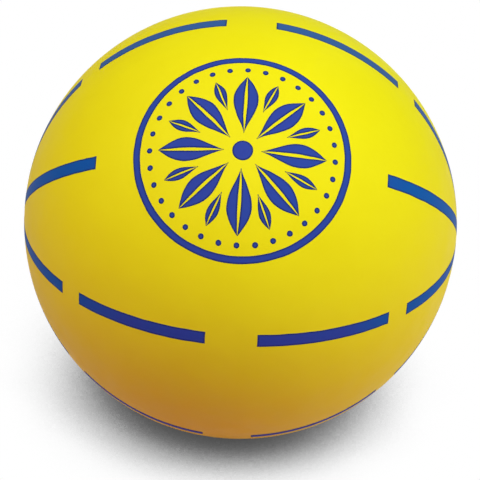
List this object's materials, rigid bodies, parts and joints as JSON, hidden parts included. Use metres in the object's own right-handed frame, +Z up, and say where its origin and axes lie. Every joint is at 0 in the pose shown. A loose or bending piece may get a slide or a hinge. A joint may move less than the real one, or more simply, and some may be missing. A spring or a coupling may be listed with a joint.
{
  "type": "mini basketball",
  "caption": "Inflated play ball with a smooth seamless skin, dashed printed panel lines round a common axis and a recessed needle valve.",
  "frame": {"origin": "centre of the ball", "axes": "+X along the print axis, out through the valve; +Z up; the emblem's place looks to -Y and up at 45 degrees"},
  "size_m": [0.2218, 0.222, 0.222],
  "materials": {
    "skin_pvc": "satin soft PVC",
    "line_ink": "satin printing ink",
    "seat_pvc": "soft PVC",
    "core_rubber": "moulded butyl rubber"
  },
  "bodies": {
    "root": {"skin": "skin_pvc", "valve_seat": "seat_pvc", "valve_core": "core_rubber", "emblem_line_right": "line_ink", "emblem_line_left": "line_ink", "panel_line_1_inner_right": "line_ink", "panel_line_1_inner_left": "line_ink", "panel_line_1_outer_right": "line_ink", "panel_line_1_outer_left": "line_ink", "panel_line_2_inner_right": "line_ink", "panel_line_2_inner_left": "line_ink", "panel_line_2_outer_right": "line_ink", "panel_line_2_outer_left": "line_ink", "panel_line_3_inner_right": "line_ink", "panel_line_3_inner_left": "line_ink", "panel_line_3_outer_right": "line_ink", "panel_line_3_outer_left": "line_ink", "panel_line_4_inner_right": "line_ink", "panel_line_4_inner_left": "line_ink", "panel_line_4_outer_right": "line_ink", "panel_line_4_outer_left": "line_ink", "panel_line_5_inner_right": "line_ink", "panel_line_5_inner_left": "line_ink", "panel_line_5_outer_right": "line_ink", "panel_line_5_outer_left": "line_ink", "panel_line_6_inner_right": "line_ink", "panel_line_6_inner_left": "line_ink", "panel_line_6_outer_right": "line_ink", "panel_line_6_outer_left": "line_ink", "panel_line_7_inner_right": "line_ink", "panel_line_7_inner_left": "line_ink", "panel_line_7_outer_right": "line_ink", "panel_line_7_outer_left": "line_ink"}
  },
  "joints": []
}
